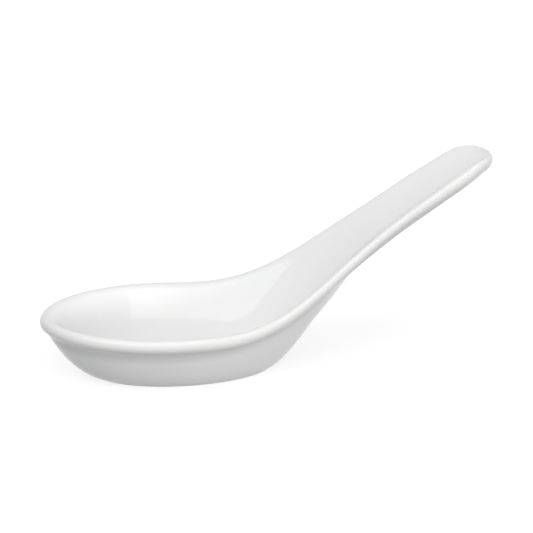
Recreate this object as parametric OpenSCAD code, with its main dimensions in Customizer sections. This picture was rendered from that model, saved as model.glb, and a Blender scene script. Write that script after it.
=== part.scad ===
// Chinese soup spoon: one moulded porcelain body and the coat of white glaze fired onto it.
// The spoon stands on its flat foot. +X runs from the tip of the bowl to the end of the handle,
// Y runs across, +Z is up. The origin is on the plane of the foot, under the bowl's widest place.

/* [Whole spoon] */
// Length seen from above, from the bowl's tip to the handle's end
spoon_length = 130; // [120:1:145]
// Distance from the bowl's widest place to its tip
tip_reach = 35; // [31:0.2:38]
// Thickness of the fired glaze
glaze_t = 0.25; // [0.15:0.05:0.4]

/* [Bowl] */
// Width of the bowl over its rim
bowl_w = 48.4; // [44:0.2:52]
// Height of the rim above the table at the bowl's widest place
rim_h = 17.4; // [15.5:0.1:20]
// Slope of the rim from the tip to the bowl's widest place, in degrees
rim_tilt = -1.2; // [-4:0.1:2]
// Radius of the rolled rim, which runs round the bowl and on along the handle
rim_r = 2; // [1.6:0.05:2.4]
// Distance that the wall stands back from the rim's edge at the sides
rim_overhang = 1.9; // [1.3:0.05:2.2]
// Distance that the wall stands back from the rim's edge at the tip
tip_overhang = 1.9; // [1:0.05:2.4]
// Thickness of the clay floor in the middle of the bowl, glaze included
floor_t = 4.4; // [3.6:0.1:6]
// Steepness of the slope from the floor up to the handle, in degrees
heel_slope = 47; // [46:1:56]
// Distance behind the origin at which that slope leaves the floor
heel_x = 27; // [24:0.5:27.5]

/* [Handle] */
// Slope of the handle where it leaves the bowl, in degrees
handle_slope = 36.1; // [28:0.1:42]
// Distance that the handle's end droops below that straight slope
handle_droop = 3.8; // [0:0.1:8]
// Distance behind the origin at which the rim starts to rise
rise_start = 7.1; // [4:0.1:10]
// Distance behind the origin at which the rim has reached the handle's slope
rise_end = 47.5; // [44:0.1:54]
// Distance behind the origin at which the bowl's sides have become the handle
neck_x = 73.4; // [66:0.1:80]
// Width of the handle where the bowl's sides have become the handle
neck_w = 22.2; // [19:0.2:25]
// Width that the handle's edges aim for at its end, a little narrower than the neck
end_w = 20.8; // [18:0.2:24]
// Length of the rounded end of the handle
end_len = 12; // [9:0.2:15]
// Radius of the rolled edge where the handle starts
handle_edge_r = 1.4; // [1.2:0.05:1.8]
// Radius of the edge at the very end of the handle, where it is thickest
end_edge_r = 2.05; // [1.6:0.05:2.3]
// Length over which the edge swells to that
swell_len = 31; // [24:1:36]
// Thickness of the handle at the neck, from its edge's plane to its underside
handle_t = 4; // [3.8:0.1:5]
// Thickness that the handle aims for at its end, before the belly closes
handle_end_t = 5.5; // [5:0.1:6.2]
// Depth of the channel along the handle
channel_d = 2.5; // [1.6:0.1:2.7]
// Drop of the edge in the middle of the handle's end, which lets the channel run out
end_drop = 2.6; // [1.6:0.1:2.8]
// Length over which the edge drops to that
drop_len = 8.8; // [7:0.2:14]

/* [Foot] */
// Length of the flat oval foot
foot_l = 51.8; // [44:0.2:56]
// Width of the flat oval foot
foot_w = 28.2; // [24:0.2:32]
// Distance from the origin back to the middle of the foot
foot_x = 6.1; // [3:0.1:8]
// Height of the glaze's wiped lower edge above the table
wiped_h = 0.3; // [0.2:0.05:0.5]

/* [Hidden] */

porcelain_colour = "oldlace";
glaze_colour = "white";

// Fineness: steps along one edge from the tip to the end, and the share of them that the foot takes
stations = 44;
foot_station_share = 0.52;

// Ends of the spoon along X
tip_x = -tip_reach;
end_x = spoon_length - tip_reach;
end_start = end_x - end_len;

// Curvature powers of the outline: 2 is an ellipse, more is squarer, less is more pointed
tip_power_x = 1.94;
tip_power_y = 1.87;
end_power_x = 1.6;
end_power_y = 2.3;
side_power = 1.86;
neck_sharpness_share = 0.2;

bowl_half_w = bowl_w / 2;

// The hollow starts this far in from the outline, in radii of the rolled edge: on the bowl, and
// where the bowl's sides have become the handle
crest_share = 1.6;
handle_crest_share = 1.2;
// How the hollow is cut: 2 gives a round section, more gives a flatter floor and steeper sides
bowl_power = 2.3;
channel_power = 2.3;
// Softness of the joins between the surfaces, here inside and below outside
rim_blend = 2 * rim_r;
channel_blend = 0.45 * rim_r;
heel_blend = 5 * rim_r;
neck_blend = 2.5 * rim_r;

foot_half_l = foot_l / 2;
foot_half_w = foot_w / 2;
foot_front = foot_x - foot_half_l;

// How the wall flares: 1 is straight, more is rounder near the foot
wall_power = 1.47;
back_power = 1.435;
back_reach = foot_x + foot_half_l + 5.97 * rim_r;
groove_blend = 0.45 * rim_r;
belly_blend = 1.3 * rim_r;
belly_start = 12.5 * rim_r;
belly_close = 4.6 * rim_r;
belly_stop = 0.625 * rim_r;
// The handle's belly starts this far in, in radii of its edge, and this is how square it is
belly_share = 0.8;
belly_power = 5;

// Places of the surface's rings. The hollow's are shares of the way in from the edge to the
// middle line, and the wall's of the way from under the edge to the foot. The others count in
// radii of the rolled edge, from the outline in, but the roll's are shares of a quarter turn.
hollow_shares = [1, 0.84, 0.68, 0.53, 0.4, 0.28, 0.17, 0.08];
shoulder_shares = [2.1, 1.65, 1.3];
roll_shares = [0, 0.25, 0.5, 0.75, 1];
groove_shares = [0.08, 0.29, 0.45, 0.6, 0.8, 1.1, 1.5, 2];
wall_shares = [0.09, 0.2, 0.32, 0.45, 0.59, 0.73, 0.87, 1];

// Chamfer round the foot's sharp edge
foot_chamfer = wiped_h / 2;

// Small steps for slopes: a share of the length, and a share of a station
slope_step = spoon_length / 10000;
station_step = 0.02;

function clamp_share(s) = min(max(s, 0), 1);
function ease(s) = let (c = clamp_share(s)) c * c * (3 - 2 * c);
function soft_min(a, b, k) = min(a, b) - pow(max(k - abs(a - b), 0) / k, 3) * k / 6;
function soft_max(a, b, k) = -soft_min(-a, -b, k);
function unit(v) = v / norm(v);

// Half width of the handle's straight edges at x, carried on without the rounded end
function edge_half_w(x) =
    let (s = clamp_share((x - neck_x) / (end_start - neck_x)))
    (neck_w + (end_w - neck_w) * s) / 2;

// Half width behind the origin, before the end is rounded
function side_half_w(x) =
    let (s = clamp_share(x / neck_x))
    let (slow = 1 - s * s * (3 - 2 * s))
    let (sharp = 1 - s * s * s * (10 - 15 * s + 6 * s * s))
    let (bowl_part = slow + (sharp - slow) * neck_sharpness_share)
    edge_half_w(x) + (bowl_half_w - edge_half_w(x)) * bowl_part;

// Half width of the spoon's outline at x
function half_w(x) =
    x < 0
    ? bowl_half_w * pow(max(1 - pow(x / tip_x, tip_power_x), 0), 1 / tip_power_y)
    : x < end_start
    ? side_half_w(x)
    : side_half_w(x) * pow(max(1 - pow((x - end_start) / end_len, end_power_x), 0), 1 / end_power_y);

// Height of the rim's crest line at x
function rim_z(x) =
    let (rise = rise_end - rise_start)
    let (s = clamp_share((x - rise_start) / rise))
    let (gain = tan(handle_slope) - tan(rim_tilt))
    let (past = max(x - rise_end, 0))
    rim_h + tan(rim_tilt) * x
    + gain * (rise * s * s * s * (1 - s / 2) + past)
    - handle_droop * pow(past / (end_x - rise_end), 2);

// Slope of the crest line, and how much longer an upright height is than a square one there
function rim_slope(x) = (rim_z(x + slope_step) - rim_z(x - slope_step)) / (2 * slope_step);
function upright(x) = sqrt(1 + pow(rim_slope(x), 2));

// The edge's middle is lower at the handle's end, where the channel runs out
function end_dip(x, y) =
    -end_drop * ease((x - end_x + drop_len) / drop_len) * max(1 - pow(2 * y / end_w, 2), 0);

// Radius of the rolled edge at x, and how far in from the outline the hollow starts there
function roll_r(x) =
    let (side_r = rim_r + (handle_edge_r - rim_r) * ease(x / neck_x))
    side_r + (end_edge_r - side_r) * ease((x - end_x + swell_len) / swell_len);
function crest_in(x) =
    (crest_share + (handle_crest_share - crest_share) * ease(x / neck_x)) * roll_r(x);

// Height of the hollow's middle line at x: the bowl's floor, the heel and the handle's channel
function hollow_z(x) =
    let (heel = floor_t + tan(heel_slope) * (x - heel_x))
    let (channel = rim_z(x) - channel_d * upright(x))
    soft_min(soft_max(floor_t, heel, heel_blend), channel, neck_blend);

// How far out towards the crest a place is: 0 on the middle line, 1 at the hollow's edge
function hollow_share(x, y) =
    x < 0
    ? pow(pow(abs(x) / (tip_reach - crest_in(x)), tip_power_x)
        + pow(abs(y) / (bowl_half_w - crest_in(x)), tip_power_y), 1 / tip_power_y)
    : abs(y) / (side_half_w(x) - crest_in(x));

// Height of the hollow's surface
function hollow_surface(x, y) =
    let (p = bowl_power + (channel_power - bowl_power) * ease(x / neck_x))
    let (low = hollow_z(x))
    low + (rim_z(x) - low) * pow(hollow_share(x, y), p);

// Upper surface at a place that lies in_from inside the outline
function top_z(x, y, in_from) =
    let (r = roll_r(x))
    let (s = clamp_share(1 - in_from / r))
    let (crest = rim_z(x) + end_dip(x, y) - r * (1 - sqrt(1 - s * s)) * upright(x))
    let (k = rim_blend + (channel_blend - rim_blend) * ease(x / neck_x))
    soft_min(crest, hollow_surface(x, y), k);

// Underside of the rolled edge
function roll_under(x, y, in_from) =
    let (r = roll_r(x))
    let (s = clamp_share(1 - in_from / r))
    rim_z(x) + end_dip(x, y) - r * (1 + sqrt(1 - s * s)) * upright(x);

// Underside of the handle, a shallow belly that closes at the end and fades out under the bowl
function belly_under(x, y) =
    let (r = roll_r(x))
    let (along = clamp_share((x - belly_start) / (end_x - belly_start)))
    let (thick = handle_t + (handle_end_t - handle_t) * along)
    let (last = clamp_share((x - end_x + belly_close) / (belly_close - belly_stop)))
    let (belly_in = belly_share * r)
    let (across = abs(y) / max(half_w(x) - belly_in, belly_in / 10))
    let (round = pow(max(1 - pow(across, belly_power), 0), 1 / belly_power))
    let (bulge = sqrt(1 - last * last) * ease(x / belly_start) * round)
    rim_z(x) + end_dip(x, y) - (r + (thick - r) * bulge) * upright(x)
    + max(across - 1, 0) * rim_h;

// Outside wall of the bowl, which flares from the oval foot to just inside the rim
function wall_under(x, y) =
    let (out_foot = norm([(x - foot_x) / foot_half_l, y / foot_half_w]))
    let (wall_half_w = bowl_half_w - rim_overhang)
    let (reach = x < 0 ? tip_reach - tip_overhang : back_reach)
    let (p = x < 0 ? tip_power_x : side_power)
    let (out_rim = pow(pow(abs(x) / reach, p) + pow(abs(y) / wall_half_w, p), 1 / p))
    let (past_foot = max(out_foot - 1, 0))
    let (to_rim = max(1 - out_rim, 0) * wall_half_w / foot_half_w)
    let (share = out_rim < 1
        ? past_foot / (past_foot + to_rim)
        : 1 + (out_rim - 1) * wall_half_w / (wall_half_w - foot_half_w))
    let (power = wall_power + (back_power - wall_power) * ease((x - foot_front) / foot_l))
    wiped_h + (rim_h - 2 * rim_r - wiped_h) * pow(share, power);

// Lower surface at a place that lies in_from inside the outline
function under_z(x, y, in_from) =
    let (body = soft_min(belly_under(x, y), wall_under(x, y), belly_blend))
    soft_min(roll_under(x, y, in_from), body, groove_blend);

// A point of the outline, as the station number runs from 0 at the tip to stations at the end
function outline_point(i) =
    let (turn = 180 * i / stations)
    let (x = tip_x + spoon_length * (1 - cos(turn)) / 2)
    let (side = sin(turn) < 0 ? 1 : -1)
    [x, side * half_w(x)];

// Direction square to the outline, pointing in
function inward(i) =
    let (along = outline_point(i + station_step) - outline_point(i - station_step))
    unit([-along[1], along[0]]);

function edge_place(i, in_from) = outline_point(i) + inward(i) * in_from;

// Middle line of the hollow, where the rings of the upper surface end
middle_front = tip_x + bowl_half_w;
middle_back = end_start;
function middle_place(i) =
    let (share = (i / stations + (outline_point(i)[0] - tip_x) / spoon_length) / 2)
    [middle_front + (middle_back - middle_front) * share, 0];

// Inner ends of the lower rings: round the foot, and then along the handle's middle line
last_foot = round(stations * foot_station_share);
function foot_point(turn) = [foot_x + foot_half_l * cos(turn), -foot_half_w * sin(turn)];
function foot_place(i) =
    i <= last_foot
    ? foot_point(180 * (1 - i / last_foot))
    : let (back = foot_x + foot_half_l)
      let (from = outline_point(last_foot)[0])
      let (even = (i - last_foot) / (stations - last_foot))
      let (share = (even + (outline_point(i)[0] - from) / (end_x - from)) / 2)
      [back + (middle_back - back) * share, 0];

function station_r(i) = roll_r(outline_point(i)[0]);
function top_point(p, in_from) = [p[0], p[1], top_z(p[0], p[1], in_from)];
function under_point(p, in_from) = [p[0], p[1], under_z(p[0], p[1], in_from)];

// One ring of each kind, from station 0 at the tip to the last one at the handle's end
function hollow_ring(share) =
    [for (i = [0:stations])
        let (start = edge_place(i, shoulder_shares[0] * station_r(i)))
        top_point(start + (middle_place(i) - start) * share, bowl_half_w)];

function shoulder_ring(share) =
    [for (i = [0:stations])
        top_point(edge_place(i, share * station_r(i)), share * station_r(i))];

function roll_ring(share) =
    [for (i = [0:stations])
        let (in_from = station_r(i) * (1 - sin(90 * share)))
        top_point(edge_place(i, in_from), in_from)];

function groove_ring(share) =
    [for (i = [0:stations])
        under_point(edge_place(i, share * station_r(i)), share * station_r(i))];

function wall_ring(share) =
    [for (i = [0:stations])
        let (start = edge_place(i, groove_shares[len(groove_shares) - 1] * station_r(i)))
        under_point(start + (foot_place(i) - start) * share, bowl_half_w)];

// The glazed surface: rings from the middle of the hollow over the edge and down to the foot,
// on the half of the spoon with y below 0
glazed = concat(
    [for (s = hollow_shares) hollow_ring(s)],
    [for (s = shoulder_shares) shoulder_ring(s)],
    [for (s = roll_shares) roll_ring(s)],
    [for (s = groove_shares) groove_ring(s)],
    [for (s = wall_shares) wall_ring(s)]);
rings = len(glazed);

function mirrored(p) = [p[0], -p[1], p[2]];

// Steps from a place's neighbours, across the rings and along the stations. Where the half ends,
// the neighbour is in the other half.
function step_across(ring, i) =
    let (inner = min(max(i, 1), stations - 1))
    ring == 0 ? glazed[1][inner] - mirrored(glazed[1][inner])
    : ring == rings - 1 ? mirrored(glazed[rings - 2][inner]) - glazed[rings - 2][inner]
    : glazed[ring + 1][i] - glazed[ring - 1][i];

function step_along(ring, i) =
    let (middle = ring == 0 || ring == rings - 1)
    let (beside = ring == 0 ? 1 : rings - 2)
    let (before = i > 0 ? glazed[ring][i - 1]
        : middle ? glazed[beside][0] : mirrored(glazed[ring][1]))
    let (after = i < stations ? glazed[ring][i + 1]
        : middle ? glazed[beside][stations] : mirrored(glazed[ring][stations - 1]))
    after - before;

// Direction square to the surface, pointing out of the spoon
function outward(ring, i) =
    ring == rings - 1 && i <= last_foot
    ? [0, 0, -1]
    : unit(cross(step_across(ring, i), step_along(ring, i)));

// The clay's own surface lies one glaze thickness inside
clay = [for (ring = [0:rings - 1])
    [for (i = [0:stations]) glazed[ring][i] - outward(ring, i) * glaze_t]];

// Rings round the foot itself, bare of glaze, for the stations that end on it
foot_side = [for (i = [0:last_foot])
    [foot_place(i)[0], foot_place(i)[1], foot_chamfer]];
foot_flat = [for (i = [0:last_foot])
    let (p = foot_place(i) - [foot_x, 0])
    let (in = p - unit(p) * foot_chamfer)
    [foot_x + in[0], in[1], 0]];

// Joining the rings into closed surfaces. The half with y below 0 comes first, and a place on
// the middle line is shared by both halves.
function on_middle(ring, i) =
    i == 0 || i == stations || ring == 0 || (ring == rings - 1 && i >= last_foot);
grid_points = rings * (stations + 1) + (rings - 2) * (stations - 1) + last_foot - 1;

function both_halves(grid) = concat(
    [for (ring = grid) each ring],
    [for (ring = [1:rings - 1])
        for (i = [1:stations - 1])
            if (!on_middle(ring, i)) mirrored(grid[ring][i])]);

function near_place(ring, i) = ring * (stations + 1) + i;
function far_place(ring, i) =
    on_middle(ring, i)
    ? near_place(ring, i)
    : rings * (stations + 1) + (ring - 1) * (stations - 1) + i - 1;

// Two triangles from four corners, seen clockwise from outside or turned over
function two_faces(a, b, c, d, over) = over ? [[a, b, c], [a, c, d]] : [[a, c, b], [a, d, c]];

// Corners of one patch of the grid, in each half. The patch at the end of the middle line starts
// at its second corner, so that neither of its triangles lies flat on that line.
function in_order(a, b, c, d, ring, i) =
    ring == 0 && i == stations - 1 ? [b, c, d, a] : [a, b, c, d];
function near_patch(ring, i) =
    in_order(near_place(ring, i), near_place(ring + 1, i),
        near_place(ring + 1, i + 1), near_place(ring, i + 1), ring, i);
function far_patch(ring, i) =
    in_order(far_place(ring, i), far_place(ring + 1, i),
        far_place(ring + 1, i + 1), far_place(ring, i + 1), ring, i);

// Faces of the whole grid, its points counted from first
function patch_faces(patch, first, over) =
    two_faces(first + patch[0], first + patch[1], first + patch[2], first + patch[3], over);
function grid_faces(first, over) =
    [for (ring = [0:rings - 2])
        for (i = [0:stations - 1])
            each concat(
                patch_faces(near_patch(ring, i), first, over),
                patch_faces(far_patch(ring, i), first, !over))];

// The foot's own two rings, whose points follow the clay's
function both_foot_halves(ring) = concat(ring, [for (i = [1:last_foot - 1]) mirrored(ring[i])]);
function near_foot(level, i) = grid_points + level * 2 * last_foot + i;
function far_foot(level, i) =
    i == 0 || i == last_foot ? near_foot(level, i) : near_foot(level, last_foot + i);

foot_faces =
    [for (i = [0:last_foot - 1])
        each concat(
            two_faces(near_place(rings - 1, i), near_foot(0, i),
                near_foot(0, i + 1), near_place(rings - 1, i + 1), false),
            two_faces(far_place(rings - 1, i), far_foot(0, i),
                far_foot(0, i + 1), far_place(rings - 1, i + 1), true),
            two_faces(near_foot(0, i), near_foot(1, i), near_foot(1, i + 1), near_foot(0, i + 1), false),
            two_faces(far_foot(0, i), far_foot(1, i), far_foot(1, i + 1), far_foot(0, i + 1), true))];
foot_face = concat(
    [for (i = [0:last_foot]) near_foot(1, i)],
    [for (i = [last_foot - 1:-1:1]) far_foot(1, i)]);

// The glaze's wiped edge round the foot, from its outer skin to the clay
wiped_faces =
    [for (i = [0:last_foot - 1])
        each concat(
            two_faces(near_place(rings - 1, i), grid_points + near_place(rings - 1, i),
                grid_points + near_place(rings - 1, i + 1), near_place(rings - 1, i + 1), false),
            two_faces(far_place(rings - 1, i), grid_points + far_place(rings - 1, i),
                grid_points + far_place(rings - 1, i + 1), far_place(rings - 1, i + 1), true))];

// The fired clay: bowl, rolled rim, handle and the bare foot in one moulding
module porcelain_body() {
    color(porcelain_colour)
    polyhedron(
        points = concat(both_halves(clay), both_foot_halves(foot_side), both_foot_halves(foot_flat)),
        faces = concat(grid_faces(0, false), foot_faces, [foot_face]),
        convexity = 6);
}

// The coat of glass all over it but the foot
module glaze_coat() {
    color(glaze_colour)
    polyhedron(
        points = concat(both_halves(glazed), both_halves(clay)),
        faces = concat(grid_faces(0, false), grid_faces(grid_points, true), wiped_faces),
        convexity = 10);
}

porcelain_body();
glaze_coat();
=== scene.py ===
"""Porcelain soup spoon: its white glaze, and the fired clay under it, which shows on the foot.

The spoon stands on its foot. +X runs from the bowl's tip to the handle's end, Y across, +Z up.
Sizes are in millimetres in the shape's rules and in metres everywhere else.
"""
import math

import bpy
from mathutils import Matrix, Vector


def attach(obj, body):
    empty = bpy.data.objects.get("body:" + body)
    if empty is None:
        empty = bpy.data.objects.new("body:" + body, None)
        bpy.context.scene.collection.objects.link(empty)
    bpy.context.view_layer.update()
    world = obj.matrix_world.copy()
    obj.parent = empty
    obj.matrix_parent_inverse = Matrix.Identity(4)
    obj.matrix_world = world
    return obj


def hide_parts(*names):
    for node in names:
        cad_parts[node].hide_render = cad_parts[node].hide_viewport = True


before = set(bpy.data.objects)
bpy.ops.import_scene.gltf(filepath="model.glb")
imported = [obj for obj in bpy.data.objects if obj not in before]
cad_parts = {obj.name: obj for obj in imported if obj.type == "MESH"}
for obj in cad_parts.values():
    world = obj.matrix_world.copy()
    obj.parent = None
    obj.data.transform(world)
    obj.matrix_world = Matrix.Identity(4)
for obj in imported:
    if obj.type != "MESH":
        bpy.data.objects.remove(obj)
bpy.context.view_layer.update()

MM = 0.001

# The spoon's sizes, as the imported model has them. Bowl width and handle droop keep it a hair
# inside that model's facets.
SIZES = {
    "Spoon length": 130.0,
    "Tip reach": 35.0,
    "Glaze thickness": 0.25,
    "Bowl width": 48.36,
    "Rim height": 17.4,
    "Rim tilt": math.radians(-1.2),
    "Rim radius": 2.0,
    "Rim overhang": 1.9,
    "Tip overhang": 1.9,
    "Floor thickness": 4.4,
    "Heel slope": math.radians(47),
    "Heel place": 27.0,
    "Handle slope": math.radians(36.1),
    "Handle droop": 3.87,
    "Rise start": 7.1,
    "Rise end": 47.5,
    "Neck place": 73.4,
    "Neck width": 22.2,
    "End width": 20.8,
    "End length": 12.0,
    "Handle edge radius": 1.4,
    "End edge radius": 2.05,
    "Swelling length": 31.0,
    "Handle thickness": 4.0,
    "Handle end thickness": 5.5,
    "Channel depth": 2.5,
    "End drop": 2.6,
    "Drop length": 8.8,
    "Foot length": 51.8,
    "Foot width": 28.2,
    "Foot place": 6.1,
    "Wiped height": 0.3,
    "Bowl squareness": 2.3,
    "Channel squareness": 2.3,
    "Belly squareness": 5.0,
    "Wall roundness": 1.47,
    "Back roundness": 1.435,
}

# Roundness of the outline at the tip, at the handle's end and along the sides: 2 is an ellipse
TIP_POWERS = (1.94, 1.87)
END_POWERS = (1.6, 2.3)
SIDE_POWER = 1.86
# Between the bowl and the neck, the outline follows two curves: the share of the sharper one
NECK_SHARPNESS = 0.2
# In radii of the rolled edge, how far inside the outline the hollow reaches its full height, in the
# bowl and on the handle, and how far inside it the belly starts
CREST_IN, HANDLE_CREST_IN = 1.6, 1.2
BELLY_IN = 0.8
# In rim radii, how softly surfaces meet: rolled edge and bowl, rolled edge and channel, floor and
# heel, heel and channel, belly and wall, and both of these and the rolled edge
RIM_BLEND, CHANNEL_BLEND = 2.0, 0.45
FLOOR_BLEND, HEEL_BLEND = 5.0, 2.5
WALL_BLEND, GROOVE_BLEND = 1.3, 0.45
# In rim radii, how far behind the origin the belly has its full height, how far before the handle's
# end it starts to close and is closed, and how far behind the foot the wall reaches the rim
BELLY_START = 12.5
BELLY_CLOSE, BELLY_CLOSED = 4.6, 0.625
WALL_REACH = 5.97
# The crest line's slope is measured over steps of the spoon's length divided by this
SLOPE_STEPS = 1000.0

# Fineness: steps along one edge of the spoon, and rings across it from the hollow to the foot
STATIONS = 240
RINGS = {"Hollow": 22, "Shoulder": 8, "Roll": 7, "Groove": 16, "Wall": 22}
# The stations whose rings end on the foot's oval, as a share of all, from the tip
FOOT_STATIONS = 0.52
# In radii of the rolled edge, how far inside the outline the hollow's rings stop and the wall's start
HOLLOW_IN, WALL_IN = 2.1, 2.0
# How evenly rings are spread: 1 is evenly, and less crowds them together where they start
HOLLOW_PACE, GROOVE_PACE, WALL_PACE = 0.75, 0.3, 0.7
# Points nearer than this are one, in millimetres, and what keeps a whole number whole when rounded down
SAME_POINT = 0.002
NUDGE = 1e-4
# Corners sharper than this stay sharp
SHARP_ANGLE = math.radians(35)

# In radii of the rolled edge: how far inside the outline the painted shade over the rolled edge
# reaches, and where the painted shade in the groove lies and how wide. With N the second number on the
# next line, the edge's painted shade fades over 1 / N of the way to the middle.
EDGE_SHADE_IN, EDGE_SHADE_FADE = 1.8, 20.0
GROOVE_SHADE_IN, GROOVE_SHADE_REACH = 1.1, 0.8

# The table's grey, and its glow for the rays that show it, which makes it white
FLOOR_GREY = 0.3
FLOOR_SEEN_GLOW = 0.8
# The room's brightness, and how much of it more there is towards +X, +Y and +Z
ROOM_LIGHT = 0.48
ROOM_TOWARDS = (-0.49, -0.26, 0.25)
# Each lamp is a flat panel: where it is, which way it faces, its size, how bright its face is, where
# 1 is as bright as white paper in full light, and whether it shows in reflections
LAMPS = {
    "softbox above": ((-0.25, -0.57, 0.8), (0, 0, -1), (1.3, 0.85), 1.56, True),
    "low front panel": ((0.7, -1.5, 0.17), (-0.45, 1, -0.05), (1.2, 0.3), 9.2, False),
}

# The camera: azimuth, elevation and roll in degrees, its lens in pixels, the photograph's width in
# pixels, the point that it is aimed at and its distance from it
CAMERA_TURNS = (-15.487, 20.213, 1.383)
LENS_PIXELS, PHOTO_PIXELS, SENSOR_MM = 2836.868, 533, 36
AIMED_AT, CAMERA_DISTANCE = (0.029715, 0, 0.028545), 0.8


class Term:
    """One value in a node tree. Sums and products of terms add Math nodes to the tree."""

    def __init__(self, tree, socket, made):
        self.tree, self.socket, self.made = tree, socket, made

    def step(self, operation, *others):
        key = (operation, self.name(self), *(self.name(o) for o in others))
        if key not in self.made:
            node = self.tree.nodes.new("ShaderNodeMath")
            node.operation = operation
            for place, value in zip(node.inputs, (self, *others)):
                if isinstance(value, Term):
                    self.tree.links.new(value.socket, place)
                else:
                    place.default_value = value
            self.made[key] = Term(self.tree, node.outputs[0], self.made)
        return self.made[key]

    @staticmethod
    def name(value):
        return value.socket.as_pointer() if isinstance(value, Term) else float(value)

    def constant(self, value):
        return self.step("MULTIPLY", 0.0).step("ADD", value)

    def __add__(self, other):
        return self.step("ADD", other)

    __radd__ = __add__

    def __mul__(self, other):
        return self.step("MULTIPLY", other)

    __rmul__ = __mul__

    def __sub__(self, other):
        return self.step("SUBTRACT", other)

    def __rsub__(self, other):
        return self.step("MULTIPLY", -1.0).step("ADD", other)

    def __neg__(self):
        return self.step("MULTIPLY", -1.0)

    def __truediv__(self, other):
        return self.step("DIVIDE", other)

    def __rtruediv__(self, other):
        return self.constant(other).step("DIVIDE", self)

    def __pow__(self, other):
        return self.step("POWER", other)


def size_of(value):
    return value.step("ABSOLUTE")


def lower(a, b):
    return a.step("MINIMUM", b)


def higher(a, b):
    return a.step("MAXIMUM", b)


def share(value):
    """The value, kept between 0 and 1."""
    return higher(lower(value, 1.0), 0.0)


def ease(value):
    """From 0 to 1 with level ends."""
    s = share(value)
    return s * s * (3.0 - 2.0 * s)


def root(value):
    return higher(value, 0.0).step("SQRT")


def soft_lower(a, b, blend):
    """The lower of two heights, rounded off where they are nearer to each other than the blend."""
    near = higher(blend - size_of(a - b), 0.0) / blend
    return lower(a, b) - near * near * near * blend / 6.0


def soft_higher(a, b, blend):
    near = higher(blend - size_of(a - b), 0.0) / blend
    return higher(a, b) + near * near * near * blend / 6.0


def mix(a, b, part):
    return a + (b - a) * part


def paced(value, pace, end=1.0):
    """From 0 to the end while the value goes from 0 to 1, at the given pace where it starts."""
    return value * (pace + value * (end - pace))


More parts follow.
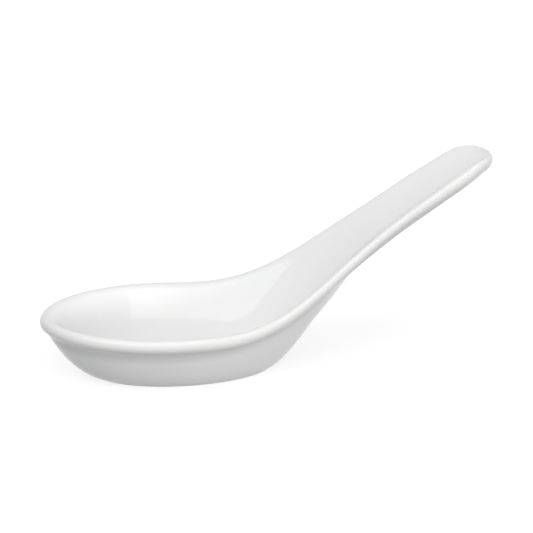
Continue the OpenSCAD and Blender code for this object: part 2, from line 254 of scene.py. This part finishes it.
class Spoon:
    """The rules of the spoon's shape, written as terms of the sizes."""

    def __init__(self, size):
        self.size = size
        self.rim_r = size["Rim radius"]
        self.tip_x = -size["Tip reach"]
        self.end_x = size["Spoon length"] - size["Tip reach"]
        self.end_start = self.end_x - size["End length"]
        self.bowl_half = size["Bowl width"] / 2.0
        self.foot_half_l = size["Foot length"] / 2.0
        self.foot_half_w = size["Foot width"] / 2.0

    def edge_half_width(self, x):
        """Half the handle's width, which changes evenly from the neck to the end."""
        size = self.size
        along = share((x - size["Neck place"]) / (self.end_start - size["Neck place"]))
        return mix(size["Neck width"], size["End width"], along) / 2.0

    def side_half_width(self, x):
        """Half the width without the rounding of the tip and the handle's end."""
        s = share(x / self.size["Neck place"])
        slow = 1.0 - s * s * (3.0 - 2.0 * s)
        sharp = 1.0 - s * s * s * (10.0 - 15.0 * s + 6.0 * s * s)
        bowl_part = slow + (sharp - slow) * NECK_SHARPNESS
        handle = self.edge_half_width(x)
        return handle + (self.bowl_half - handle) * bowl_part

    def half_width(self, x):
        """Half the outline's width."""
        to_tip = higher(x / self.tip_x, 0.0) ** TIP_POWERS[0]
        to_end = higher((x - self.end_start) / self.size["End length"], 0.0) ** END_POWERS[0]
        tip = higher(1.0 - to_tip, 0.0) ** (1.0 / TIP_POWERS[1])
        end = higher(1.0 - to_end, 0.0) ** (1.0 / END_POWERS[1])
        return self.side_half_width(x) * tip * end

    def rim_z(self, x):
        """The crest line: nearly level over the bowl, then rising, and drooping to the end."""
        size = self.size
        rise = size["Rise end"] - size["Rise start"]
        s = share((x - size["Rise start"]) / rise)
        tilt = size["Rim tilt"].step("TANGENT")
        gain = size["Handle slope"].step("TANGENT") - tilt
        past = higher(x - size["Rise end"], 0.0)
        droop = size["Handle droop"] * (past / (self.end_x - size["Rise end"])) ** 2.0
        return (size["Rim height"] + tilt * x
                + gain * (rise * s * s * s * (1.0 - s / 2.0) + past) - droop)

    def upright(self, x):
        """How much longer a length square to the crest line is when measured upright."""
        step = self.size["Spoon length"] / SLOPE_STEPS
        slope = (self.rim_z(x + step) - self.rim_z(x - step)) / (step * 2.0)
        return root(slope * slope + 1.0)

    def end_dip(self, x, y):
        """How far the handle's end dips in its middle."""
        size = self.size
        across = y * 2.0 / size["End width"]
        along = ease((x - self.end_x + size["Drop length"]) / size["Drop length"])
        return -(size["End drop"] * along * higher(1.0 - across * across, 0.0))

    def roll_r(self, x):
        """The rolled edge's radius: the bowl's, the handle's, and larger at the end."""
        size = self.size
        swell = ease((x - self.end_x + size["Swelling length"]) / size["Swelling length"])
        side_r = mix(self.rim_r, size["Handle edge radius"], ease(x / size["Neck place"]))
        return mix(side_r, size["End edge radius"], swell)

    def hollow_z(self, x):
        """The hollow's middle line: the floor, the heel and the handle's channel."""
        size = self.size
        heel = size["Floor thickness"] + size["Heel slope"].step("TANGENT") * (x - size["Heel place"])
        channel = self.rim_z(x) - size["Channel depth"] * self.upright(x)
        floor = soft_higher(size["Floor thickness"], heel, self.rim_r * FLOOR_BLEND)
        return soft_lower(floor, channel, self.rim_r * HEEL_BLEND)

    def hollow_share(self, x, y):
        """The share of the way from the hollow's middle to its full height."""
        crest_in = self.roll_r(x) * mix(CREST_IN, HANDLE_CREST_IN, ease(x / self.size["Neck place"]))
        to_tip = (higher(-x, 0.0) / (self.size["Tip reach"] - crest_in)) ** TIP_POWERS[0]
        to_side = (size_of(y) / (self.side_half_width(x) - crest_in)) ** TIP_POWERS[1]
        return (to_tip + to_side) ** (1.0 / TIP_POWERS[1])

    def hollow_surface(self, x, y):
        """The height of the hollow."""
        size = self.size
        neck = ease(x / size["Neck place"])
        power = mix(size["Bowl squareness"], size["Channel squareness"], neck)
        low = self.hollow_z(x)
        return low + (self.rim_z(x) - low) * self.hollow_share(x, y) ** power

    def top_z(self, x, y, in_from):
        """The height of the upper side: the rolled edge and the hollow."""
        r = self.roll_r(x)
        s = share(1.0 - in_from / r)
        crest = self.rim_z(x) + self.end_dip(x, y) - r * (1.0 - root(1.0 - s * s)) * self.upright(x)
        neck = ease(x / self.size["Neck place"])
        blend = self.rim_r * (RIM_BLEND - (RIM_BLEND - CHANNEL_BLEND) * neck)
        return soft_lower(crest, self.hollow_surface(x, y), blend)

    def roll_under(self, x, y, in_from):
        """The height of the rolled edge's lower half."""
        r = self.roll_r(x)
        s = share(1.0 - in_from / r)
        return self.rim_z(x) + self.end_dip(x, y) - r * (1.0 + root(1.0 - s * s)) * self.upright(x)

    def belly_under(self, x, y):
        """The height of the handle's back, which swells towards its end."""
        size = self.size
        start, close = self.rim_r * BELLY_START, self.rim_r * BELLY_CLOSE
        r = self.roll_r(x)
        along = share((x - start) / (self.end_x - start))
        thick = mix(size["Handle thickness"], size["Handle end thickness"], along)
        last = share((x - self.end_x + close) / (close - self.rim_r * BELLY_CLOSED))
        across = size_of(y) / higher(self.half_width(x) - r * BELLY_IN, r * (BELLY_IN / 10.0))
        power = size["Belly squareness"]
        round_ = higher(1.0 - across ** power, 0.0) ** (1.0 / power)
        bulge = root(1.0 - last * last) * ease(x / start) * round_
        return (self.rim_z(x) + self.end_dip(x, y) - (r + (thick - r) * bulge) * self.upright(x)
                + higher(across - 1.0, 0.0) * size["Rim height"])

    def wall_under(self, x, y):
        """The height of the bowl's flared wall, from the foot up to the rim."""
        size = self.size
        behind = x.step("GREATER_THAN", 0.0)
        foot_x, foot_y = (x - size["Foot place"]) / self.foot_half_l, y / self.foot_half_w
        past_foot = higher(root(foot_x * foot_x + foot_y * foot_y) - 1.0, 0.0)
        wall_half = self.bowl_half - size["Rim overhang"]
        back_reach = size["Foot place"] + self.foot_half_l + self.rim_r * WALL_REACH
        reach = mix(size["Tip reach"] - size["Tip overhang"], back_reach, behind)
        power = behind * (SIDE_POWER - TIP_POWERS[0]) + TIP_POWERS[0]
        out_rim = ((size_of(x) / reach) ** power + (size_of(y) / wall_half) ** power) ** (1.0 / power)
        to_rim = higher(1.0 - out_rim, 0.0) * wall_half / self.foot_half_w
        beyond = higher(out_rim - 1.0, 0.0) * wall_half / (wall_half - self.foot_half_w)
        up = past_foot / (past_foot + to_rim) + beyond
        foot_front = size["Foot place"] - self.foot_half_l
        to_back = ease((x - foot_front) / size["Foot length"])
        flare = mix(size["Wall roundness"], size["Back roundness"], to_back)
        top = size["Rim height"] - self.rim_r * 2.0
        return size["Wiped height"] + (top - size["Wiped height"]) * up ** flare

    def under_z(self, x, y, in_from):
        """The height of the underside: the rolled edge, the belly and the wall."""
        body = soft_lower(self.belly_under(x, y), self.wall_under(x, y), self.rim_r * WALL_BLEND)
        return soft_lower(self.roll_under(x, y, in_from), body, self.rim_r * GROOVE_BLEND)

    def outline(self, station):
        """The outline's point at a share of the way from the tip, 0, to the handle's end, 1."""
        turn = (station * (math.pi / 2)).step("SINE")
        x = self.tip_x + self.size["Spoon length"] * turn * turn
        side = (station * math.pi).step("SINE").step("SIGN")
        return x, -(side * self.half_width(x))


def named_inputs(tree, sizes, counts):
    """Adds the tree's inputs with their starting values, and gives the terms they stand for."""
    inputs = tree.nodes.new("NodeGroupInput")
    made, terms, names = {}, {}, {}
    for name, value in {**sizes, **counts}.items():
        kind = "NodeSocketInt" if name in counts else "NodeSocketFloat"
        item = tree.interface.new_socket(name, in_out="INPUT", socket_type=kind)
        item.default_value = value
        names[name] = item.identifier
    for socket in inputs.outputs:
        if socket.name:
            terms[socket.name] = Term(tree, socket, made)
    return terms, names


def add(tree, kind, **settings):
    node = tree.nodes.new(kind)
    for name, value in settings.items():
        setattr(node, name, value)
    return node


def link(tree, *pairs):
    for source, place in pairs:
        tree.links.new(source.socket if isinstance(source, Term) else source, place)


def vector(tree, x, y, z):
    node = add(tree, "ShaderNodeCombineXYZ")
    for value, place in zip((x, y, z), node.inputs):
        if isinstance(value, Term):
            tree.links.new(value.socket, place)
        else:
            place.default_value = value
    return node.outputs[0]


def spoon_tree(name, bare_foot, finish):
    """A tree that lays a grid over the spoon: columns run round its edge, and rings run from the
    middle of the hollow over the rolled edge and down to the foot. With bare_foot it makes the
    clay under the glaze instead, closed by the foot that the glaze leaves free."""
    tree = bpy.data.node_groups.new(name, "GeometryNodeTree")
    tree.is_modifier = True
    counts = {"Stations": STATIONS, **{ring + " rings": count for ring, count in RINGS.items()}}
    tree.interface.new_socket("Geometry", in_out="OUTPUT", socket_type="NodeSocketGeometry")
    size, names = named_inputs(tree, SIZES, counts)
    spoon = Spoon(size)

    rings = size["Hollow rings"]
    starts = {}
    for ring in list(RINGS)[1:]:
        starts[ring] = rings
        rings = rings + size[ring + " rings"]
    columns = size["Stations"] * 2.0
    grid = add(tree, "GeometryNodeMeshGrid")
    link(tree, (columns + 1.0, grid.inputs["Vertices X"]), (rings + 1.0, grid.inputs["Vertices Y"]))

    index = Term(tree, add(tree, "GeometryNodeInputIndex").outputs[0], spoon.rim_r.made)
    column = (index / (rings + 1.0) + NUDGE).step("FLOOR")
    ring = index - column * (rings + 1.0)
    far_side = column.step("GREATER_THAN", size["Stations"] + 0.5)
    station = mix(column, columns - column, far_side) / size["Stations"]

    # The outline's point at this column, and the direction square to the outline there
    edge_x, edge_y = spoon.outline(station)
    half_step = 0.5 / size["Stations"]
    after, before = spoon.outline(station + half_step), spoon.outline(station - half_step)
    along_x, along_y = after[0] - before[0], after[1] - before[1]
    length = root(along_x * along_x + along_y * along_y)
    in_x, in_y = -(along_y / length), along_x / length

    # How far this ring lies inside the outline, in radii of the rolled edge
    over = share((ring - starts["Shoulder"]) / size["Shoulder rings"])
    round_ = share((ring - starts["Roll"]) / size["Roll rings"])
    under = share((ring - starts["Groove"]) / size["Groove rings"])
    rolled = (round_ * (math.pi / 2)).step("SINE")
    in_radii = HOLLOW_IN - over * (HOLLOW_IN - 1.0) - rolled + paced(under, GROOVE_PACE, WALL_IN)
    in_from = in_radii * spoon.roll_r(edge_x)

    # Where the rings end: the hollow's middle line above, the foot and the handle's middle line below
    turn_x = (edge_x - spoon.tip_x) / size["Spoon length"]
    front, back = spoon.tip_x + spoon.bowl_half, spoon.end_start
    middle_x = mix(front, back, (station + turn_x) / 2.0)
    last_foot = (size["Stations"] * FOOT_STATIONS).step("ROUND") / size["Stations"]
    turn = (1.0 - lower(station / last_foot, 1.0)) * math.pi
    foot_back = size["Foot place"] + spoon.foot_half_l
    from_x = spoon.outline(last_foot)[0]
    even = higher(station - last_foot, 0.0) / (1.0 - last_foot)
    further = higher(edge_x - from_x, 0.0) / (spoon.end_x - from_x)
    foot_x = (size["Foot place"] + spoon.foot_half_l * turn.step("COSINE")
              + (back - foot_back) * (even + further) / 2.0)
    foot_y = -(spoon.foot_half_w * turn.step("SINE"))

    below = ring.step("GREATER_THAN", starts["Groove"] + 0.5)
    inner_x, inner_y = mix(middle_x, foot_x, below), foot_y * below
    to_middle = 1.0 - share(ring / size["Hollow rings"])
    to_foot = share((ring - starts["Wall"]) / size["Wall rings"])
    inner = paced(to_middle, HOLLOW_PACE) + paced(to_foot, WALL_PACE)
    x = mix(edge_x + in_x * in_from, inner_x, inner)
    y = mix(edge_y + in_y * in_from, inner_y, inner)
    z = mix(spoon.top_z(x, y, in_from), spoon.under_z(x, y, in_from), below)
    y = y * (1.0 - far_side * 2.0)

    place = add(tree, "GeometryNodeSetPosition")
    link(tree, (grid.outputs["Mesh"], place.inputs["Geometry"]),
         (vector(tree, x, y, z), place.inputs["Position"]))
    # Where the glaze's colour gets painted shade: over the rolled edge, and in the groove under it
    painted_edge_shade = (1.0 - share(in_radii / EDGE_SHADE_IN)) * (1.0 - share(inner * EDGE_SHADE_FADE))
    # Painted shade: the mask that darkens the glaze's colour in the groove under the rolled edge
    painted_groove_shade = below * (1.0 - share(size_of(in_radii - GROOVE_SHADE_IN) / GROOVE_SHADE_REACH))
    skin = place.outputs[0]
    for name, value in (("edge", painted_edge_shade), ("painted_groove_shade", painted_groove_shade)):
        store = add(tree, "GeometryNodeStoreNamedAttribute", data_type="FLOAT", domain="POINT")
        store.inputs["Name"].default_value = name
        link(tree, (skin, store.inputs["Geometry"]), (value, store.inputs["Value"]))
        skin = store.outputs[0]
    closed = add(tree, "GeometryNodeMergeByDistance")
    closed.inputs["Distance"].default_value = SAME_POINT
    outside = add(tree, "GeometryNodeFlipFaces")
    link(tree, (skin, closed.inputs["Geometry"]), (closed.outputs[0], outside.inputs["Mesh"]))
    skin = outside.outputs[0]
    if bare_foot:
        skin = with_foot(tree, size, spoon, skin)

    scale = add(tree, "GeometryNodeTransform")
    scale.inputs["Scale"].default_value = (MM, MM, MM)
    real = add(tree, "GeometryNodeRealizeInstances")
    paint = add(tree, "GeometryNodeSetMaterial")
    paint.inputs["Material"].default_value = finish
    out = add(tree, "NodeGroupOutput")
    link(tree, (skin, scale.inputs["Geometry"]), (scale.outputs[0], real.inputs["Geometry"]),
         (real.outputs[0], paint.inputs["Geometry"]), (paint.outputs[0], out.inputs[0]))
    return tree, names


def with_foot(tree, size, spoon, skin):
    """Moves the skin in by the glaze's thickness, and closes it with the bare oval foot."""
    made = spoon.rim_r.made
    faces = Term(tree, add(tree, "GeometryNodeInputMeshEdgeNeighbors").outputs[0], made)
    open_edge = faces.step("LESS_THAN", 1.5)
    spread = Term(tree, add(tree, "GeometryNodeInputNormal").outputs[0], made)
    thickness = size["Glaze thickness"]

    inward = add(tree, "ShaderNodeVectorMath", operation="SCALE")
    link(tree, (spread, inward.inputs[0]), (-thickness, inward.inputs["Scale"]))
    on_rim = add(tree, "GeometryNodeFieldOnDomain", data_type="FLOAT", domain="EDGE")
    link(tree, (open_edge, on_rim.inputs[0]))
    rim_share = Term(tree, on_rim.outputs[0], made).step("GREATER_THAN", 0.0)
    choose = add(tree, "ShaderNodeMix", data_type="VECTOR")
    link(tree, (rim_share, choose.inputs["Factor"]), (inward.outputs[0], choose.inputs[4]),
         (vector(tree, 0.0, 0.0, thickness), choose.inputs[5]))
    clay = add(tree, "GeometryNodeSetPosition")
    link(tree, (skin, clay.inputs["Geometry"]), (choose.outputs[1], clay.inputs["Offset"]))

    chamfer = size["Wiped height"] / 2.0
    position = add(tree, "ShaderNodeSeparateXYZ")
    link(tree, (add(tree, "GeometryNodeInputPosition").outputs[0], position.inputs[0]))
    x, y = Term(tree, position.outputs[0], made), Term(tree, position.outputs[1], made)
    off_x = x - size["Foot place"]
    out = root(off_x * off_x + y * y)
    side = add(tree, "GeometryNodeExtrudeMesh", mode="EDGES")
    side.inputs["Offset Scale"].default_value = 0.0
    link(tree, (clay.outputs[0], side.inputs["Mesh"]), (open_edge, side.inputs["Selection"]))
    down = add(tree, "GeometryNodeSetPosition")
    link(tree, (side.outputs["Mesh"], down.inputs["Geometry"]),
         (side.outputs["Top"], down.inputs["Selection"]),
         (vector(tree, x, y, chamfer), down.inputs["Position"]))
    lip = add(tree, "GeometryNodeExtrudeMesh", mode="EDGES")
    lip.inputs["Offset Scale"].default_value = 0.0
    link(tree, (down.outputs[0], lip.inputs["Mesh"]), (side.outputs["Top"], lip.inputs["Selection"]))
    flat = add(tree, "GeometryNodeSetPosition")
    link(tree, (lip.outputs["Mesh"], flat.inputs["Geometry"]),
         (lip.outputs["Top"], flat.inputs["Selection"]),
         (vector(tree, x - off_x / out * chamfer, y - y / out * chamfer, 0.0), flat.inputs["Position"]))

    ring = add(tree, "GeometryNodeMeshToCurve")
    fill = add(tree, "GeometryNodeFillCurve", mode="NGONS")
    turned = add(tree, "GeometryNodeFlipFaces")
    both = add(tree, "GeometryNodeJoinGeometry")
    closed = add(tree, "GeometryNodeMergeByDistance")
    closed.inputs["Distance"].default_value = SAME_POINT
    link(tree, (flat.outputs[0], ring.inputs["Mesh"]), (lip.outputs["Top"], ring.inputs["Selection"]),
         (ring.outputs[0], fill.inputs[0]), (fill.outputs[0], turned.inputs["Mesh"]),
         (flat.outputs[0], both.inputs[0]), (turned.outputs[0], both.inputs[0]),
         (both.outputs[0], closed.inputs["Geometry"]))
    return closed.outputs[0]


def grown(name, tree, names):
    """Evaluates a tree on an empty piece and keeps its result as a plain mesh."""
    piece = bpy.data.objects.new(name, bpy.data.meshes.new(name))
    bpy.context.collection.objects.link(piece)
    shape = piece.modifiers.new("shape", "NODES")
    shape.node_group = tree
    for size_name, value in SIZES.items():
        shape[names[size_name]] = value
    result = bpy.data.meshes.new_from_object(
        piece.evaluated_get(bpy.context.evaluated_depsgraph_get()))
    piece.modifiers.remove(shape)
    piece.data = result
    result.name = name
    return piece


def rounded(piece):
    """Shades a piece smooth, apart from its sharp corners."""
    piece.data.shade_smooth()
    piece.data.set_sharp_from_angle(angle=SHARP_ANGLE)


def material(name):
    made = bpy.data.materials.new(name)
    made.use_nodes = True
    nodes = made.node_tree.nodes
    nodes.clear()
    shader, out = nodes.new("ShaderNodeBsdfPrincipled"), nodes.new("ShaderNodeOutputMaterial")
    made.node_tree.links.new(shader.outputs[0], out.inputs["Surface"])
    place = nodes.new("ShaderNodeTexCoord").outputs["Object"]
    return made, made.node_tree, shader, place


def noise(tree, place, size_mm, detail=2.0, rough=0.5):
    """Cloudy noise whose lumps are about size_mm across."""
    node = add(tree, "ShaderNodeTexNoise")
    node.inputs["Scale"].default_value = 1000 / size_mm
    node.inputs["Detail"].default_value = detail
    node.inputs["Roughness"].default_value = rough
    tree.links.new(place, node.inputs["Vector"])
    return node.outputs["Fac"]


def spots(tree, place, apart_mm, radius_mm, rarity):
    """1 inside small round spots scattered about apart_mm apart, of which a share is kept."""
    cells = add(tree, "ShaderNodeTexVoronoi")
    cells.inputs["Scale"].default_value = 1000 / apart_mm
    tree.links.new(place, cells.inputs["Vector"])
    made = {}
    near = Term(tree, cells.outputs["Distance"], made)
    parts = add(tree, "ShaderNodeSeparateColor")
    tree.links.new(cells.outputs["Color"], parts.inputs[0])
    kept = Term(tree, parts.outputs[0], made).step("LESS_THAN", rarity)
    inside = share(1.0 - near / (radius_mm / apart_mm))
    return kept * inside


def ramp(tree, factor, *stops):
    node = add(tree, "ShaderNodeValToRGB")
    while len(node.color_ramp.elements) < len(stops):
        node.color_ramp.elements.new(0.5)
    for element, (position, colour) in zip(node.color_ramp.elements, stops):
        element.position = position
        element.color = (*colour, 1)
    link(tree, (factor, node.inputs["Fac"]))
    return node.outputs["Color"]


def span(tree, factor, low, high):
    node = add(tree, "ShaderNodeMapRange")
    node.inputs["To Min"].default_value, node.inputs["To Max"].default_value = low, high
    link(tree, (factor, node.inputs["Value"]))
    return node.outputs["Result"]


def blended(tree, factor, a, b):
    node = add(tree, "ShaderNodeMix", data_type="RGBA")
    link(tree, (factor, node.inputs["Factor"]))
    for value, place in ((a, node.inputs[6]), (b, node.inputs[7])):
        if isinstance(value, tuple):
            place.default_value = (*value, 1)
        else:
            tree.links.new(value, place)
    return node.outputs[2]


def raised(tree, height, depth_mm, under=None):
    """A bump of a height from 0 to 1 that is depth_mm deep, on top of another one."""
    node = add(tree, "ShaderNodeBump")
    node.inputs["Strength"].default_value = 1.0
    node.inputs["Distance"].default_value = depth_mm * MM
    link(tree, (height, node.inputs["Height"]))
    if under is not None:
        tree.links.new(under, node.inputs["Normal"])
    return node.outputs["Normal"]


def white_glaze():
    """Clear white glaze: glossy and even, with the faint waves of a dipped coat and a few pinholes.
    Its colour holds painted shade: a darker, slightly warmer tone over the rolled edge, and a darker,
    greyer one in the groove under the edge."""
    made, tree, shader, place = material("white glaze")
    edge, painted_groove_shade = [Term(tree, add(tree, "ShaderNodeAttribute", attribute_name=name).outputs["Fac"], {})
                  for name in ("edge", "painted_groove_shade")]
    cloud = ramp(tree, noise(tree, place, 22),
                 (0.3, (0.83, 0.835, 0.835)), (0.7, (0.845, 0.845, 0.84)))
    # Painted shade: the rolled edge gets a darker, slightly warmer tone in place of the light that
    # falls there
    painted_edge_shade = blended(tree, edge * 0.6, cloud, (0.71, 0.707, 0.7))
    # Painted shade: the groove under the rolled edge gets a darker grey tone in place of the shade that
    # falls there
    with_groove_shade = blended(tree, painted_groove_shade * 0.9, painted_edge_shade, (0.62, 0.628, 0.63))
    pits = spots(tree, place, 7.0, 0.16, 0.12)
    tree.links.new(blended(tree, pits * 0.35, with_groove_shade, (0.55, 0.53, 0.5)), shader.inputs["Base Color"])
    tree.links.new(span(tree, noise(tree, place, 9, 3), 0.05, 0.11), shader.inputs["Roughness"])
    shader.inputs["IOR"].default_value = 1.52
    waves = raised(tree, noise(tree, place, 14, 1), 0.06)
    peel = raised(tree, noise(tree, place, 1.6, 1), 0.0015, under=waves)
    holes = raised(tree, 1.0 - pits, 0.05, under=peel)
    tree.links.new(holes, shader.inputs["Normal"])
    return made


def bare_porcelain():
    """Fired clay without glaze: matt and faintly warm, with fine grain, a few iron specks and
    the dry wipe marks of the sponge that cleaned the foot."""
    made, tree, shader, place = material("bare porcelain")
    grain = noise(tree, place, 0.35, 4, 0.65)
    tone = ramp(tree, noise(tree, place, 6, 3), (0.35, (0.74, 0.7, 0.63)), (0.65, (0.8, 0.77, 0.71)))
    stretch = add(tree, "ShaderNodeMapping")
    stretch.inputs["Scale"].default_value = (0.12, 1, 1)
    tree.links.new(place, stretch.inputs["Vector"])
    wiped = Term(tree, noise(tree, stretch.outputs[0], 0.8, 3, 0.6), {})
    tone = blended(tree, share(wiped * 2.0 - 0.9) * 0.35, tone, (0.84, 0.82, 0.78))
    specks = spots(tree, place, 2.6, 0.11, 0.35)
    speckled = blended(tree, share(specks * 2.0) * 0.6, tone, (0.36, 0.26, 0.18))
    tree.links.new(speckled, shader.inputs["Base Color"])
    tree.links.new(span(tree, grain, 0.62, 0.85), shader.inputs["Roughness"])
    shader.inputs["IOR"].default_value = 1.45
    rubbed = raised(tree, wiped, 0.02)
    tree.links.new(raised(tree, grain, 0.03, under=rubbed), shader.inputs["Normal"])
    return made


def glaze_coat():
    tree, names = spoon_tree("glaze over the spoon", False, white_glaze())
    piece = grown("glaze", tree, names)
    shell = piece.modifiers.new("thickness", "SOLIDIFY")
    shell.thickness = SIZES["Glaze thickness"] * MM
    shell.offset = -1
    rounded(piece)
    return piece


def porcelain_body():
    tree, names = spoon_tree("clay under the glaze", True, bare_porcelain())
    piece = grown("body", tree, names)
    rounded(piece)
    return piece


def seen_rays(tree, made):
    """1 for the rays that show the background: the camera's, reflections and what shines through."""
    path = add(tree, "ShaderNodeLightPath")
    rays = [Term(tree, path.outputs["Is %s Ray" % kind], made)
            for kind in ("Camera", "Glossy", "Transmission")]
    return share(rays[0] + rays[1] + rays[2])


def studio():
    """A plain white table in a bright room, with the lamps."""
    bpy.ops.mesh.primitive_plane_add(size=6)
    table = bpy.context.object
    table.name = "table"
    paint = bpy.data.materials.new("table white")
    paint.use_nodes = True
    tree = paint.node_tree
    tree.nodes.clear()
    seen = seen_rays(tree, {})
    matt, glow = add(tree, "ShaderNodeBsdfDiffuse"), add(tree, "ShaderNodeEmission")
    matt.inputs["Color"].default_value = (FLOOR_GREY, FLOOR_GREY, FLOOR_GREY, 1)
    link(tree, (seen * FLOOR_SEEN_GLOW, glow.inputs["Strength"]))
    both, out = add(tree, "ShaderNodeAddShader"), add(tree, "ShaderNodeOutputMaterial")
    link(tree, (matt.outputs[0], both.inputs[0]), (glow.outputs[0], both.inputs[1]),
         (both.outputs[0], out.inputs["Surface"]))
    table.data.materials.append(paint)

    world = bpy.data.worlds.new("room")
    bpy.context.scene.world = world
    world.use_nodes = True
    tree = world.node_tree
    tree.nodes.clear()
    made = {}
    seen = seen_rays(tree, made)
    way = add(tree, "ShaderNodeSeparateXYZ")
    link(tree, (add(tree, "ShaderNodeTexCoord").outputs["Generated"], way.inputs[0]))
    towards = [Term(tree, way.outputs[axis], made) * pull for axis, pull in enumerate(ROOM_TOWARDS)]
    lit = (1.0 + towards[0] + towards[1] + towards[2]) * ROOM_LIGHT
    air, out = add(tree, "ShaderNodeBackground"), add(tree, "ShaderNodeOutputWorld")
    air.inputs["Color"].default_value = (1, 1, 1, 1)
    link(tree, (mix(lit, 1.0, seen), air.inputs["Strength"]),
         (air.outputs[0], out.inputs["Surface"]))

    for name, (place, faces, size, brightness, reflected) in LAMPS.items():
        lamp = bpy.data.lights.new(name, "AREA")
        lamp.shape = "RECTANGLE"
        lamp.size, lamp.size_y = size
        lamp.energy = brightness * size[0] * size[1] * math.pi
        box = bpy.data.objects.new(name, lamp)
        box.location = place
        box.rotation_euler = Vector(faces).to_track_quat("-Z", "Y").to_euler()
        box.visible_glossy = reflected
        bpy.context.collection.objects.link(box)


def camera():
    """The photograph's camera: a long lens, a little to the left of the spoon's side and above it."""
    azimuth, elevation, roll = (math.radians(turn) for turn in CAMERA_TURNS)
    back = Vector((math.sin(azimuth) * math.cos(elevation), -math.cos(azimuth) * math.cos(elevation),
                   math.sin(elevation)))
    right = Vector((math.cos(azimuth), math.sin(azimuth), 0))
    up = back.cross(right)
    turned_right = right * math.cos(roll) + up * math.sin(roll)
    turned_up = up * math.cos(roll) - right * math.sin(roll)
    view = bpy.data.cameras.new("camera")
    view.sensor_width = SENSOR_MM
    view.lens = LENS_PIXELS / PHOTO_PIXELS * SENSOR_MM
    view.clip_start, view.clip_end = 0.01, 20
    eye = bpy.data.objects.new("camera", view)
    place = Matrix((turned_right, turned_up, back)).transposed().to_4x4()
    place.translation = Vector(AIMED_AT) + back * CAMERA_DISTANCE
    eye.matrix_world = place
    bpy.context.collection.objects.link(eye)
    bpy.context.scene.camera = eye


camera()
studio()
for piece, node, slot_name in ((glaze_coat(), "glaze_coat", "glaze"),
                               (porcelain_body(), "porcelain_body", "porcelain")):
    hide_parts(node)
    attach(piece, "root")

scene = bpy.context.scene
scene.view_settings.view_transform = "Standard"
